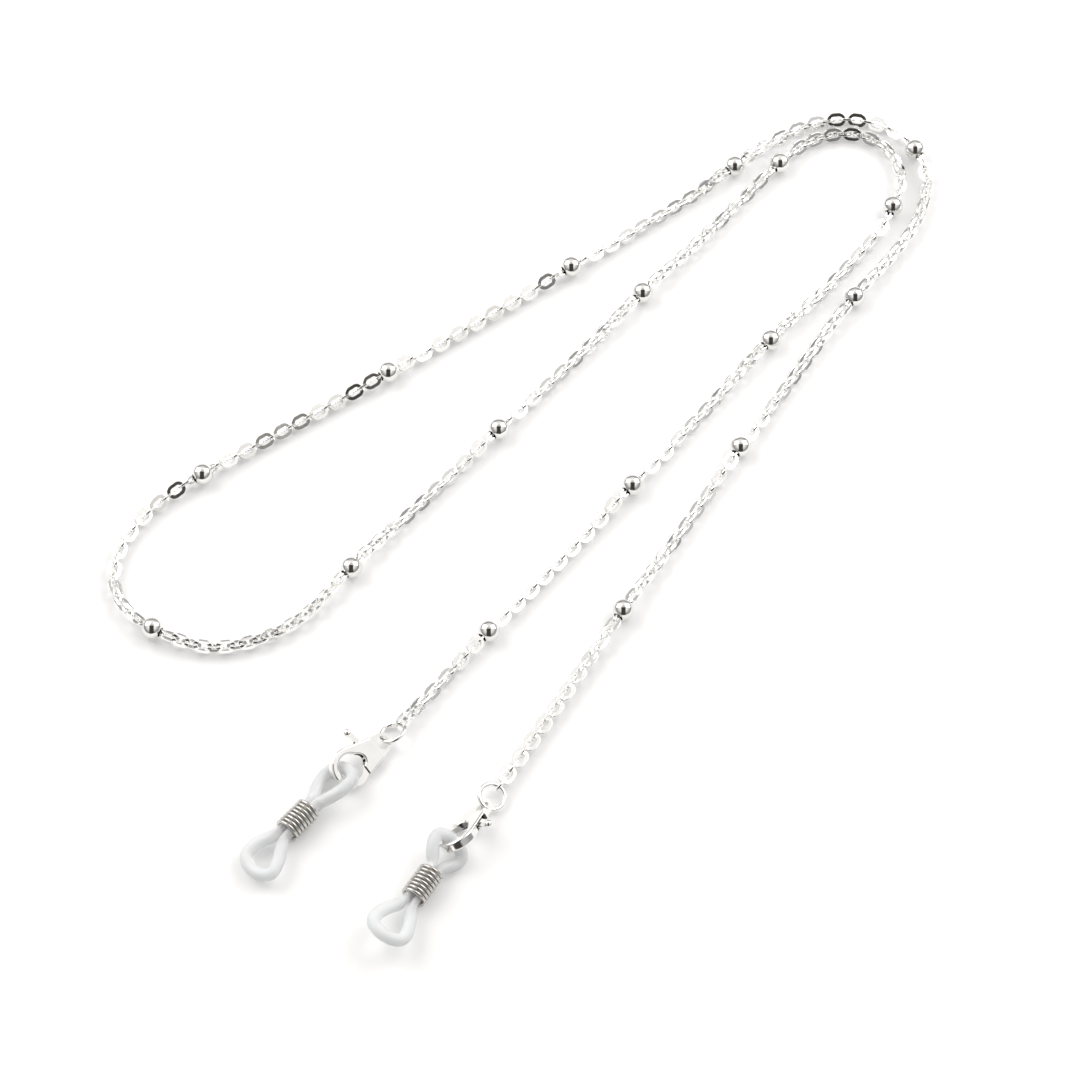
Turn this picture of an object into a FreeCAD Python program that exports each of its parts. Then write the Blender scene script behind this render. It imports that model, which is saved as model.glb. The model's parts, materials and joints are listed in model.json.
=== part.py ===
import FreeCAD, Part
import math
import os
import Sketcher

# Beaded chain strap for eyeglasses, lying folded in three on a flat surface.
# +X runs from the two loop ends to the far hairpins, +Z is up, and the strap rests on Z = 0.
# Bead 1 is the one nearest to end one. The chain runs on from there to bead 17 and end two.

V = FreeCAD.Vector
doc = FreeCAD.newDocument("ChainStrap")
sheet = doc.addObject("Spreadsheet::Sheet", "Sizes")

SIZES = [
    ("bead_diameter", 4.0),
    ("bead_bore", 1.8),
    ("link_length", 3.8),
    ("link_width", 2.8),
    ("link_band", 0.78),
    ("link_thickness", 0.4),
    ("link_rounding", 0.1),
    ("link_play", 0.17),
    ("core_width", 1.52),
    ("core_side", 0.38),
    ("core_end_band", 0.5),
    ("links_between", 18),
    ("links_end_one", 11),
    ("links_end_two", 20),
    ("running_gap", 0.06),
    ("ring_diameter", 5.5),
    ("ring_wire", 0.8),
    ("ring_seam", 0.08),
    ("eye_diameter", 3.6),
    ("eye_hole", 2.4),
    ("eye_thickness", 0.9),
    ("eye_clearance", 0.38),
    ("clasp_reach", 7.9),
    ("hook_diameter", 7.4),
    ("hook_offset", 0.2),
    ("arm_width", 1.25),
    ("opening_neck", 2.0),
    ("opening_neck_radius", 1.2),
    ("clasp_thickness", 1.8),
    ("clasp_rounding", 0.35),
    ("lever_thickness", 1.0),
    ("lever_gap", 0.12),
    ("slot_start", 1.9),
    ("slot_end", 5.6),
    ("pivot_reach", 3.3),
    ("pivot_offset", 0.5),
    ("pivot_boss", 1.9),
    ("arm_bar", 1.3),
    ("pin_diameter", 0.7),
    ("pin_gap", 0.04),
    ("gate_length", 6.3),
    ("gate_top", 0.75),
    ("gate_inset", 0.1),
    ("tab_reach", 5.9),
    ("tab_lean", 10.0),
    ("tab_width", 0.9),
    ("tab_knob", 1.5),
    ("spring_wire", 0.16),
    ("spring_diameter", 0.84),
    ("spring_turns", 3),
    ("spring_offset", 1.2),
    ("cord_diameter", 2.3),
    ("cord_one_upper", 10.2),
    ("cord_one_lower", 9.2),
    ("cord_two_upper", 6.9),
    ("cord_two_lower", 9.6),
    ("upper_loop_width", 6.2),
    ("lower_loop_width", 6.3),
    ("coil_diameter", 4.7),
    ("coil_wire", 0.34),
    ("coil_pitch", 0.76),
    ("coil_turns", 8),
    ("coil_gap", 0.08),
    ("coil_travel", 1.0),
    ("roll_jitter", 3.5),
    ("rise_length", 8.0),
    ("ring_height", 1.6),
]

for row, (alias, value) in enumerate(SIZES, start=1):
    sheet.set("A%d" % row, alias)
    sheet.set("B%d" % row, str(value))
    sheet.setAlias("B%d" % row, alias)
doc.recompute()


def size(alias):
    return float(sheet.get(alias))


def bind(obj, prop, expression):
    """Bind one property to the sheet. A word with a dollar sign in front is a sheet alias."""
    obj.setExpression(prop, expression.replace("$", "Sizes."))


# Vectors and arcs

def unit(vector):
    return V(vector).normalize()


def arc_from(start, heading, finish):
    """The arc or line that leaves start along heading and ends at finish."""
    chord = finish - start
    along = unit(chord)
    side = heading - along * heading.dot(along)
    if side.Length < 1e-6:
        return Part.LineSegment(start, finish).toShape()
    half_turn = math.acos(max(-1.0, min(1.0, heading.dot(along))))
    rise = chord.Length / 2 * math.tan(half_turn / 2)
    middle = (start + finish) * 0.5 + unit(side) * rise
    return Part.Arc(start, middle, finish).toShape()


def biarc(start, heading, finish, ending):
    """Two arcs that join start to finish, tangent to both given directions."""
    span = finish - start
    total = heading + ending
    turn = 2 * (1 - heading.dot(ending))
    reach = span.dot(total)
    if turn < 1e-9:
        arm = span.dot(span) / (4 * span.dot(ending))
    else:
        arm = (-reach + math.sqrt(reach * reach + turn * span.dot(span))) / turn
    joint = (start + heading * arm + finish - ending * arm) * 0.5
    middle_heading = unit(finish - ending * arm - start - heading * arm)
    return [arc_from(start, heading, joint), arc_from(joint, middle_heading, finish)]


def smooth_path(points, first_heading=None, last_heading=None):
    """A tangent row of arcs through the points."""
    headings = []
    for place in range(len(points)):
        before = points[max(place - 1, 0)]
        after = points[min(place + 1, len(points) - 1)]
        headings.append(unit(after - before))
    if first_heading is not None:
        headings[0] = unit(first_heading)
    if last_heading is not None:
        headings[-1] = unit(last_heading)
    edges = []
    for place in range(len(points) - 1):
        edges += biarc(points[place], headings[place], points[place + 1], headings[place + 1])
    return edges, headings


def pipe(edges, start, heading, radius):
    """A round tube along a row of tangent arcs."""
    circle = Part.Wire([Part.Circle(start, heading, radius).toShape()])
    return Part.Wire(edges).makePipeShell([circle], True, False)


# Sketch helpers

def origin_plane(body, role):
    for feature in body.Origin.OriginFeatures:
        if feature.Role == role:
            return feature
    raise ValueError(role)


def add_sketch(body, name, role="XY_Plane"):
    sketch = body.newObject("Sketcher::SketchObject", name)
    sketch.AttachmentSupport = (origin_plane(body, role), [""])
    sketch.MapMode = "FlatFace"
    return sketch


def drive(sketch, constraint, expression):
    """Add a dimension to a sketch and bind it to the sheet."""
    index = sketch.addConstraint(constraint)
    sketch.setExpression("Constraints[%d]" % index, expression.replace("$", "Sizes."))
    return index


def add_circle(sketch, x, y, radius, x_rule, y_rule, radius_rule):
    circle = sketch.addGeometry(Part.Circle(V(x, y, 0), V(0, 0, 1), radius))
    drive(sketch, Sketcher.Constraint("Radius", circle, radius), radius_rule)
    place_point(sketch, circle, 3, x, y, x_rule, y_rule)
    return circle


def place_point(sketch, geometry, point, x, y, x_rule, y_rule):
    """Fix a point by its two distances from the sketch origin, or lay it on an axis."""
    if x_rule is None:
        sketch.addConstraint(Sketcher.Constraint("PointOnObject", geometry, point, -2))
    else:
        drive(sketch, Sketcher.Constraint("DistanceX", -1, 1, geometry, point, x), x_rule)
    if y_rule is None:
        sketch.addConstraint(Sketcher.Constraint("PointOnObject", geometry, point, -1))
    else:
        drive(sketch, Sketcher.Constraint("DistanceY", -1, 1, geometry, point, y), y_rule)


def add_obround(sketch, half_length, half_width, length_rule, width_rule):
    """A slot outline centred on the origin, its straight sides along X."""
    centre = half_length - half_width
    right = sketch.addGeometry(Part.ArcOfCircle(
        Part.Circle(V(centre, 0, 0), V(0, 0, 1), half_width), -math.pi / 2, math.pi / 2))
    left = sketch.addGeometry(Part.ArcOfCircle(
        Part.Circle(V(-centre, 0, 0), V(0, 0, 1), half_width), math.pi / 2, 3 * math.pi / 2))
    top = sketch.addGeometry(Part.LineSegment(V(centre, half_width, 0), V(-centre, half_width, 0)))
    low = sketch.addGeometry(Part.LineSegment(V(-centre, -half_width, 0), V(centre, -half_width, 0)))
    sketch.addConstraint(Sketcher.Constraint("Tangent", right, 2, top, 1))
    sketch.addConstraint(Sketcher.Constraint("Tangent", top, 2, left, 1))
    sketch.addConstraint(Sketcher.Constraint("Tangent", left, 2, low, 1))
    sketch.addConstraint(Sketcher.Constraint("Tangent", low, 2, right, 1))
    sketch.addConstraint(Sketcher.Constraint("PointOnObject", right, 3, -1))
    sketch.addConstraint(Sketcher.Constraint("Symmetric", right, 3, left, 3, -1, 1))
    drive(sketch, Sketcher.Constraint("Radius", right, half_width), width_rule)
    drive(sketch, Sketcher.Constraint("DistanceX", -1, 1, right, 3, centre),
          "%s - %s" % (length_rule, width_rule))


def add_pad(body, name, sketch, length_rule):
    pad = body.newObject("PartDesign::Pad", name)
    pad.Profile = sketch
    pad.SideType = "Symmetric"
    bind(pad, "Length", length_rule)
    body.Tip = pad
    return pad


def add_pocket(body, name, sketch, length_rule=None):
    """A cut to both sides of its sketch, through everything or to a given total depth."""
    pocket = body.newObject("PartDesign::Pocket", name)
    pocket.Profile = sketch
    pocket.SideType = "Symmetric"
    if length_rule is None:
        pocket.Type = "ThroughAll"
    else:
        bind(pocket, "Length", length_rule)
    body.Tip = pocket
    return pocket


def round_edges(body, name, base, radius_rule, wanted):
    """Fillet the edges of the body that the test picks."""
    doc.recompute()
    names = []
    for number, edge in enumerate(base.Shape.Edges, start=1):
        if wanted(edge):
            names.append("Edge%d" % number)
    fillet = body.newObject("PartDesign::Fillet", name)
    fillet.Base = (base, names)
    bind(fillet, "Radius", radius_rule)
    body.Tip = fillet
    return fillet


# Chain link and bead core

LINK_HALF = size("link_length") / 2
LINK_HOLE_HALF = LINK_HALF - size("link_band")
LINK_HOLE_SIDE = size("link_width") / 2 - size("link_band")


def make_ring_link(name, half_length, half_width, end_band, side_band, rules):
    body = doc.addObject("PartDesign::Body", name)
    sketch = add_sketch(body, name + "_outline")
    add_obround(sketch, half_length, half_width, rules["length"], rules["width"])
    add_obround(sketch, half_length - end_band, half_width - side_band,
                rules["hole_length"], rules["hole_width"])
    pad = add_pad(body, name + "_strip", sketch, "$link_thickness")
    flat = size("link_thickness") / 2 - 1e-4
    round_edges(body, name + "_edges", pad, "$link_rounding",
                lambda edge: min(abs(v.Z) for v in edge.Vertexes) > flat
                and abs(edge.Vertexes[0].Z - edge.Vertexes[-1].Z) < 1e-6)
    return body


def reach_in_hole(half_length, half_width):
    """How far along its hole a neighbour's strip can lie, its thickness taken off."""
    strip = size("link_thickness") / 2
    return half_length - half_width + math.sqrt(half_width ** 2 - strip ** 2)


link = make_ring_link("chain_link", LINK_HALF, size("link_width") / 2,
                      size("link_band"), size("link_band"), {
    "length": "$link_length / 2",
    "width": "$link_width / 2",
    "hole_length": "($link_length / 2 - $link_band)",
    "hole_width": "($link_width / 2 - $link_band)",
})

# A bead's core ends where its eye holds the first link clear of the bead.
BEAD_RADIUS = size("bead_diameter") / 2
BORE_RADIUS = size("bead_bore") / 2
BEAD_FACE = math.sqrt(BEAD_RADIUS ** 2 - BORE_RADIUS ** 2)
FIRST_LINK = BEAD_FACE + LINK_HALF + size("running_gap")
CORE_HOLE_SIDE = size("core_width") / 2 - size("core_side")
CORE_HOLE_HALF = (FIRST_LINK - reach_in_hole(LINK_HOLE_HALF, LINK_HOLE_SIDE) + size("running_gap")
                  + CORE_HOLE_SIDE - math.sqrt(CORE_HOLE_SIDE ** 2 - (size("link_thickness") / 2) ** 2))
CORE_HALF = CORE_HOLE_HALF + size("core_end_band")
sheet.set("A99", "core_length")
sheet.set("B99", str(2 * CORE_HALF))
sheet.setAlias("B99", "core_length")
doc.recompute()

core = make_ring_link("bead_core", CORE_HALF, size("core_width") / 2,
                      size("core_end_band"), size("core_side"), {
    "length": "$core_length / 2",
    "width": "$core_width / 2",
    "hole_length": "($core_length / 2 - $core_end_band)",
    "hole_width": "($core_width / 2 - $core_side)",
})
doc.recompute()

# Spacing along the chain
LINK_PITCH = 2 * reach_in_hole(LINK_HOLE_HALF, LINK_HOLE_SIDE) - size("link_play")
LINKS_BETWEEN = int(size("links_between"))
BEAD_PITCH = 2 * FIRST_LINK + (LINKS_BETWEEN - 1) * LINK_PITCH
ROUTE_PITCH = 41.3
ROUTE_SCALE = BEAD_PITCH / ROUTE_PITCH
print("link pitch %.3f, bead pitch %.2f" % (LINK_PITCH, BEAD_PITCH))

# The route of the chain on the surface, end one first, at a bead pitch of ROUTE_PITCH.
ROUTE = [
    (-49.0, -8.3), (-35.0, -7.4), (-21.5, -6.9), (-1.0, -6.3), (19.3, -5.6), (40.0, -4.6),
    (61.5, -3.6), (73.7, -3.6), (81.8, -3.4), (90.0, -3.0), (96.5, -2.4), (101.8, -1.0),
    (106.6, 1.2), (110.5, 4.8), (112.4, 9.6), (111.7, 14.6), (108.6, 18.8), (103.8, 21.4),
    (97.3, 22.2), (88.0, 22.3), (76.0, 22.0), (55.9, 21.8), (35.0, 21.4), (14.3, 21.2),
    (-8.0, 21.1), (-25.3, 21.0), (-31.4, 20.6), (-38.5, 20.2), (-46.6, 21.4), (-53.4, 24.8),
    (-57.6, 28.7), (-60.0, 33.0), (-61.6, 37.5), (-62.3, 42.5), (-61.4, 47.6), (-58.6, 52.0),
    (-53.8, 55.3), (-47.6, 56.9), (-40.6, 56.9), (-33.0, 55.5), (-14.0, 50.8), (5.6, 45.8),
    (26.5, 41.0), (47.2, 36.4), (67.0, 32.2), (86.7, 28.6), (93.0, 27.8), (99.2, 26.9),
    (105.6, 24.9), (111.4, 21.2), (115.3, 15.8), (116.6, 9.8), (115.4, 3.6), (112.4, -0.8),
    (107.8, -4.2), (102.0, -6.6), (95.0, -7.9), (78.9, -9.2), (58.5, -12.0), (38.1, -15.2),
    (17.0, -18.8), (-3.0, -22.2), (-20.0, -25.3), (-34.0, -27.8), (-47.0, -30.0),
]
# Roll of the links at each bead, in degrees: 0 lies flat, and every other link is turned by 90.
ROLL_AT_BEAD = [24, 20, 66, 24, 40, 24, 62, 24, 30, 26, 24, 26, 64, 30, 24, 66, 24]
ROLL_AT_END_ONE = 61
ROLL_AT_END_TWO = -18


def route_edge():
    points = [V(x * ROUTE_SCALE, y * ROUTE_SCALE, 0) for x, y in ROUTE]
    curve = Part.BSplineCurve()
    curve.interpolate(points)
    return curve.toShape()


route = route_edge()
BEADS = len(ROLL_AT_BEAD)
RING_RADIUS = (size("ring_diameter") - size("ring_wire")) / 2
# How much more or less each bead gap is drawn out than the mean, as the chain happens to lie
GAP_EASE = [-0.4, 0.9, -0.8, -0.9, 0.3, 0.3, -0.9, 1.4, 0.8, -0.3, 1.2, -0.9, 1.2, -0.8, 0.0, 0.4]
EASE_SHARE = size("link_play") / 0.17


class Element:
    """One ring of the chain: its kind, its place along the route and its roll."""

    def __init__(self, kind, travel, roll):
        self.kind = kind
        self.travel = travel
        self.roll = roll


def point_on_route(travel):
    """The place on the route and its heading, carried on straight past the ends."""
    inside = min(max(travel, 0.0), route.Length)
    parameter = route.getParameterByLength(inside)
    heading = unit(route.tangentAt(parameter))
    return route.valueAt(parameter) + heading * (travel - inside), heading


def blend(first, last, share):
    return first + (last - first) * share


def jitter(number):
    return size("roll_jitter") * math.sin(1.9 * number) * math.cos(0.7 * number)


def stretch(elements, kind_count, start, pitch, roll_first, roll_last, turn):
    """A stretch of links between two beads, or out to one end."""
    for number in range(kind_count):
        share = (number + 0.5) / kind_count
        roll = blend(roll_first, roll_last, share) + jitter(len(elements)) + 90 * ((turn + number) % 2)
        elements.append(Element("link", start + number * pitch, roll))
    return turn + kind_count


def lay_out_chain():
    """Every ring of the chain from end one to end two, with the travel of each bead."""
    count_one = int(size("links_end_one"))
    count_two = int(size("links_end_two"))
    elements = []
    bead_travel = []
    turn = stretch(elements, count_one, 0.0, LINK_PITCH, ROLL_AT_END_ONE, ROLL_AT_BEAD[0], 0)
    travel = (count_one - 1) * LINK_PITCH + FIRST_LINK
    for bead in range(BEADS):
        bead_travel.append(travel)
        elements.append(Element("core", travel, ROLL_AT_BEAD[bead] + 90 * (turn % 2)))
        turn += 1
        if bead < BEADS - 1:
            ease = GAP_EASE[bead] * EASE_SHARE / (LINKS_BETWEEN - 1)
            turn = stretch(elements, LINKS_BETWEEN, travel + FIRST_LINK, LINK_PITCH + ease,
                           ROLL_AT_BEAD[bead], ROLL_AT_BEAD[bead + 1], turn)
            travel += 2 * FIRST_LINK + (LINKS_BETWEEN - 1) * (LINK_PITCH + ease)
    stretch(elements, count_two, travel + FIRST_LINK, LINK_PITCH,
            ROLL_AT_BEAD[-1], ROLL_AT_END_TWO, turn)
    return elements, bead_travel


elements, bead_travel = lay_out_chain()
END_ONE_SPARE = bead_travel[0] - route.Curve.length(
    route.FirstParameter, route.Curve.parameter(V(ROUTE[2][0], ROUTE[2][1], 0) * ROUTE_SCALE))
print("chain length %.1f, route %.1f, spare at end one %.1f"
      % (elements[-1].travel, route.Length, END_ONE_SPARE))


def lying_height(roll):
    """Height of the chain's centre line where its links rest on the surface."""
    angle = math.radians(roll)
    wide = size("link_width") / 2
    thick = size("link_thickness") / 2
    one = wide * abs(math.sin(angle)) + thick * abs(math.cos(angle))
    other = wide * abs(math.cos(angle)) + thick * abs(math.sin(angle))
    return max(one, other) + size("running_gap")


CONTACT_OF_LINK = LINK_PITCH / 2
CONTACT_OF_CORE = FIRST_LINK - LINK_PITCH / 2


def half_contact(element):
    return CONTACT_OF_CORE if element.kind == "core" else CONTACT_OF_LINK


def centre_height(travel, roll):
    """The chain rises from the surface to pass through each bead and to meet the end rings."""
    height = lying_height(roll)
    held = [(bead, BEAD_RADIUS) for bead in bead_travel]
    held += [(elements[0].travel, size("ring_height")), (elements[-1].travel, size("ring_height"))]
    for place, level in held:
        away = max(0.0, abs(travel - place) - CONTACT_OF_CORE) / size("rise_length")
        if away < 1:
            return blend(height, level, 0.5 + 0.5 * math.cos(math.pi * away))
    return height


def chain_point(travel, roll):
    place, heading = point_on_route(travel - END_ONE_SPARE)
    return V(place.x, place.y, centre_height(travel, roll))


def contact_after(number):
    """Where an element meets the next one on the chain."""
    element = elements[number]
    return chain_point(element.travel + half_contact(element), element.roll)


def ring_placement(number):
    """Each link spans the two points where it meets its neighbours."""
    element = elements[number]
    if number > 0:
        start = contact_after(number - 1)
    else:
        start = chain_point(element.travel - half_contact(element), element.roll)
    forward = unit(contact_after(number) - start)
    centre = (contact_after(number) + start) * 0.5
    return plane_placement(centre, forward, element.roll)


def plane_placement(centre, forward, roll):
    """A frame whose X runs along forward and whose Y is level, then rolled about forward."""
    level = unit(V(0, 0, 1).cross(forward))
    upright = forward.cross(level)
    angle = math.radians(roll)
    across = level * math.cos(angle) + upright * math.sin(angle)
    return FreeCAD.Placement(centre, FreeCAD.Rotation(forward, across, forward.cross(across), "XYZ"))


# Nodes of the chain: a run of links from one hinge to the next, with the core of its bead

nodes = []


def add_node(obj, label):
    obj.Label = label
    nodes.append(obj)
    return obj


def add_feature(label, shape, placement=None):
    obj = doc.addObject("Part::Feature", label)
    obj.Shape = shape
    if placement is not None:
        obj.Placement = placement
    return add_node(obj, label)


core_numbers = [number for number, element in enumerate(elements) if element.kind == "core"]
# A run ends at the contact between the first and the second link past its bead.
hinge_numbers = [number + 1 for number in core_numbers[:-1]]


def chain_runs():
    starts = [0] + [number + 1 for number in hinge_numbers]
    ends = hinge_numbers + [len(elements) - 1]
    return list(zip(starts, ends))


def make_run(label, first, last):
    rings = []
    for number in range(first, last + 1):
        source = core if elements[number].kind == "core" else link
        ring = source.Shape.copy()
        ring.Placement = ring_placement(number)
        rings.append(ring)
    return add_feature(label, Part.Compound(rings))


for number, (first, last) in enumerate(chain_runs(), start=1):
    make_run("chain_run_%02d" % number, first, last)


def make_bead(label, placement):
    ball = doc.addObject("Part::Sphere", label + "_ball")
    bind(ball, "Radius", "$bead_diameter / 2")
    ball.Placement.Rotation = FreeCAD.Rotation(V(0, 1, 0), 90)
    bore = doc.addObject("Part::Cylinder", label + "_bore")
    bind(bore, "Radius", "$bead_bore / 2")
    bind(bore, "Height", "$bead_diameter")
    bind(bore, "Placement.Base.x", "-$bead_diameter / 2")
    bore.Placement.Rotation = FreeCAD.Rotation(V(0, 1, 0), 90)
    bead = doc.addObject("Part::Cut", label)
    bead.Base = ball
    bead.Tool = bore
    bead.Placement = placement
    return add_node(bead, label)


for number, place in enumerate(core_numbers, start=1):
    make_bead("bead_%02d" % number, ring_placement(place))


# Lobster clasp, in its own frame: the eye at the origin, the hook along X, the solid arm on +Y

def make_clasp_body(label):
    body = doc.addObject("PartDesign::Body", label)
    reach = size("clasp_reach")
    offset = size("hook_offset")
    hook = size("hook_diameter") / 2
    outline = add_sketch(body, label + "_outline")
    add_teardrop(outline, 0, 0, size("eye_diameter") / 2, None, None, "$eye_diameter / 2",
                 reach, offset, hook, "$clasp_reach", "$hook_offset", "$hook_diameter / 2")
    blank = add_pad(body, label + "_blank", outline, "$clasp_thickness")
    opening = add_sketch(body, label + "_opening_outline")
    neck = reach - size("opening_neck")
    add_teardrop(opening, neck, offset, size("opening_neck_radius"),
                 "$clasp_reach - $opening_neck", "$hook_offset", "$opening_neck_radius",
                 reach, offset, hook - size("arm_width"),
                 "$clasp_reach", "$hook_offset", "$hook_diameter / 2 - $arm_width")
    cut = add_pocket(body, label + "_opening", opening)
    flat = size("clasp_thickness") / 2 - 1e-4
    round_edges(body, label + "_edges", cut, "$clasp_rounding",
                lambda edge: min(abs(v.Z) for v in edge.Vertexes) > flat
                and abs(edge.Vertexes[0].Z - edge.Vertexes[-1].Z) < 1e-6)
    eye = add_sketch(body, label + "_eye_outline")
    add_circle(eye, 0, 0, size("eye_hole") / 2, None, None, "$eye_hole / 2")
    add_pocket(body, label + "_eye", eye)
    thin_eye(body, label)
    slot_for_lever(body, label)
    gate_gap(body, label)
    pin_hole = add_sketch(body, label + "_pin_outline")
    add_circle(pin_hole, size("pivot_reach"), -size("pivot_offset"), size("pin_diameter") / 2,
               "$pivot_reach", "-$pivot_offset", "$pin_diameter / 2")
    add_pocket(body, label + "_pin_hole", pin_hole)
    return add_node(body, label)


def add_teardrop(sketch, x0, y0, r0, x0_rule, y0_rule, r0_rule, x1, y1, r1, x1_rule, y1_rule, r1_rule):
    """A small arc and a large arc joined by their two outer tangent lines."""
    axis = math.atan2(y1 - y0, x1 - x0)
    open_angle = math.acos((r0 - r1) / math.hypot(x1 - x0, y1 - y0))
    small = sketch.addGeometry(Part.ArcOfCircle(
        Part.Circle(V(x0, y0, 0), V(0, 0, 1), r0), axis + open_angle, axis + 2 * math.pi - open_angle))
    large = sketch.addGeometry(Part.ArcOfCircle(
        Part.Circle(V(x1, y1, 0), V(0, 0, 1), r1), axis - open_angle, axis + open_angle))

    def rim(x, y, radius, angle):
        return V(x + radius * math.cos(angle), y + radius * math.sin(angle), 0)

    top = sketch.addGeometry(Part.LineSegment(
        rim(x1, y1, r1, axis + open_angle), rim(x0, y0, r0, axis + open_angle)))
    low = sketch.addGeometry(Part.LineSegment(
        rim(x0, y0, r0, axis - open_angle), rim(x1, y1, r1, axis - open_angle)))
    sketch.addConstraint(Sketcher.Constraint("Tangent", large, 2, top, 1))
    sketch.addConstraint(Sketcher.Constraint("Tangent", top, 2, small, 1))
    sketch.addConstraint(Sketcher.Constraint("Tangent", small, 2, low, 1))
    sketch.addConstraint(Sketcher.Constraint("Tangent", low, 2, large, 1))
    drive(sketch, Sketcher.Constraint("Radius", small, r0), r0_rule)
    drive(sketch, Sketcher.Constraint("Radius", large, r1), r1_rule)
    if x0_rule is None:
        sketch.addConstraint(Sketcher.Constraint("Coincident", small, 3, -1, 1))
    else:
        place_point(sketch, small, 3, x0, y0, x0_rule, y0_rule)
    place_point(sketch, large, 3, x1, y1, x1_rule, y1_rule)


def add_rectangle(sketch, x0, y0, x1, y1, x0_rule, y0_rule, x1_rule, y1_rule):
    corners = [V(x0, y0, 0), V(x1, y0, 0), V(x1, y1, 0), V(x0, y1, 0)]
    sides = []
    for place in range(4):
        sides.append(sketch.addGeometry(Part.LineSegment(corners[place], corners[(place + 1) % 4])))
    for place in range(4):
        sketch.addConstraint(Sketcher.Constraint("Coincident", sides[place], 2, sides[(place + 1) % 4], 1))
    for place in (0, 2):
        sketch.addConstraint(Sketcher.Constraint("Horizontal", sides[place]))
    for place in (1, 3):
        sketch.addConstraint(Sketcher.Constraint("Vertical", sides[place]))
    drive(sketch, Sketcher.Constraint("DistanceX", -1, 1, sides[0], 1, x0), x0_rule)
    drive(sketch, Sketcher.Constraint("DistanceY", -1, 1, sides[0], 1, y0), y0_rule)
    drive(sketch, Sketcher.Constraint("DistanceX", -1, 1, sides[1], 2, x1), x1_rule)
    drive(sketch, Sketcher.Constraint("DistanceY", -1, 1, sides[1], 2, y1), y1_rule)


def thin_eye(body, label):
    """The eye is thinner than the clasp, cut back alike on both faces."""
    start = -size("eye_diameter")
    for side, word in ((1, "upper"), (-1, "lower")):
        sketch = add_sketch(body, "%s_thin_%s_outline" % (label, word), "XZ_Plane")
        near = side * size("eye_thickness") / 2
        far = side * size("clasp_thickness")
        sign = "" if side > 0 else "-"
        add_rectangle(sketch, start, near, size("eye_diameter") / 2, far,
                      "-$eye_diameter", sign + "$eye_thickness / 2",
                      "$eye_diameter / 2", sign + "$clasp_thickness")
        add_pocket(body, "%s_thin_%s" % (label, word), sketch)


def slot_for_lever(body, label):
    sketch = add_sketch(body, label + "_slot_outline", "XZ_Plane")
    half = size("lever_thickness") / 2 + size("lever_gap")
    add_rectangle(sketch, size("slot_start"), -half, size("slot_end"), half,
                  "$slot_start", "-$lever_thickness / 2 - $lever_gap",
                  "$slot_end", "$lever_thickness / 2 + $lever_gap")
    add_pocket(body, label + "_slot", sketch)


def gate_gap(body, label):
    """The gap in the hook that the gate closes: its end is round about the lever's pivot."""
    sketch = add_sketch(body, label + "_gap_outline")
    px = size("pivot_reach")
    py = -size("pivot_offset")
    reach = size("gate_length")
    left = size("slot_end")
    top = -size("gate_top")
    right = px + math.sqrt(reach ** 2 - (top - py) ** 2)
    bottom = py - math.sqrt(reach ** 2 - (left - px) ** 2)
    turn_low = math.atan2(bottom - py, left - px)
    turn_high = math.atan2(top - py, right - px)
    arc = sketch.addGeometry(Part.ArcOfCircle(
        Part.Circle(V(px, py, 0), V(0, 0, 1), reach), turn_low, turn_high))
    lid = sketch.addGeometry(Part.LineSegment(V(right, top, 0), V(left, top, 0)))
    side = sketch.addGeometry(Part.LineSegment(V(left, top, 0), V(left, bottom, 0)))
    sketch.addConstraint(Sketcher.Constraint("Coincident", arc, 2, lid, 1))
    sketch.addConstraint(Sketcher.Constraint("Coincident", lid, 2, side, 1))
    sketch.addConstraint(Sketcher.Constraint("Coincident", side, 2, arc, 1))
    sketch.addConstraint(Sketcher.Constraint("Horizontal", lid))
    sketch.addConstraint(Sketcher.Constraint("Vertical", side))
    drive(sketch, Sketcher.Constraint("Radius", arc, reach), "$gate_length")
    place_point(sketch, arc, 3, px, py, "$pivot_reach", "-$pivot_offset")
    drive(sketch, Sketcher.Constraint("DistanceX", -1, 1, lid, 2, left), "$slot_end")
    drive(sketch, Sketcher.Constraint("DistanceY", -1, 1, lid, 2, top), "-$gate_top")
    add_pocket(body, label + "_gap", sketch)


def cylinder(name, radius, height, x="0", y="0"):
    """An upright cylinder whose middle height is at Z = 0."""
    obj = doc.addObject("Part::Cylinder", name)
    bind(obj, "Radius", radius)
    bind(obj, "Height", height)
    bind(obj, "Placement.Base.x", x)
    bind(obj, "Placement.Base.y", y)
    bind(obj, "Placement.Base.z", "-(%s) / 2" % height)
    return obj


def combine(kind, name, base, tool):
    obj = doc.addObject(kind, name)
    obj.Base = base
    obj.Tool = tool
    return obj


def bar(name, length, width, angle):
    """A flat bar from the pivot outward, turned by an angle about it."""
    box = doc.addObject("Part::Box", name)
    bind(box, "Length", length)
    bind(box, "Width", width)
    bind(box, "Height", "$lever_thickness")
    turn = math.radians(angle)
    box.Placement.Rotation = FreeCAD.Rotation(V(0, 0, 1), angle)
    bind(box, "Placement.Base.x", "$pivot_reach + %.6f * (%s)" % (math.sin(turn) / 2, width))
    bind(box, "Placement.Base.y", "-$pivot_offset - %.6f * (%s)" % (math.cos(turn) / 2, width))
    bind(box, "Placement.Base.z", "-$lever_thickness / 2")
    return box


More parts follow.
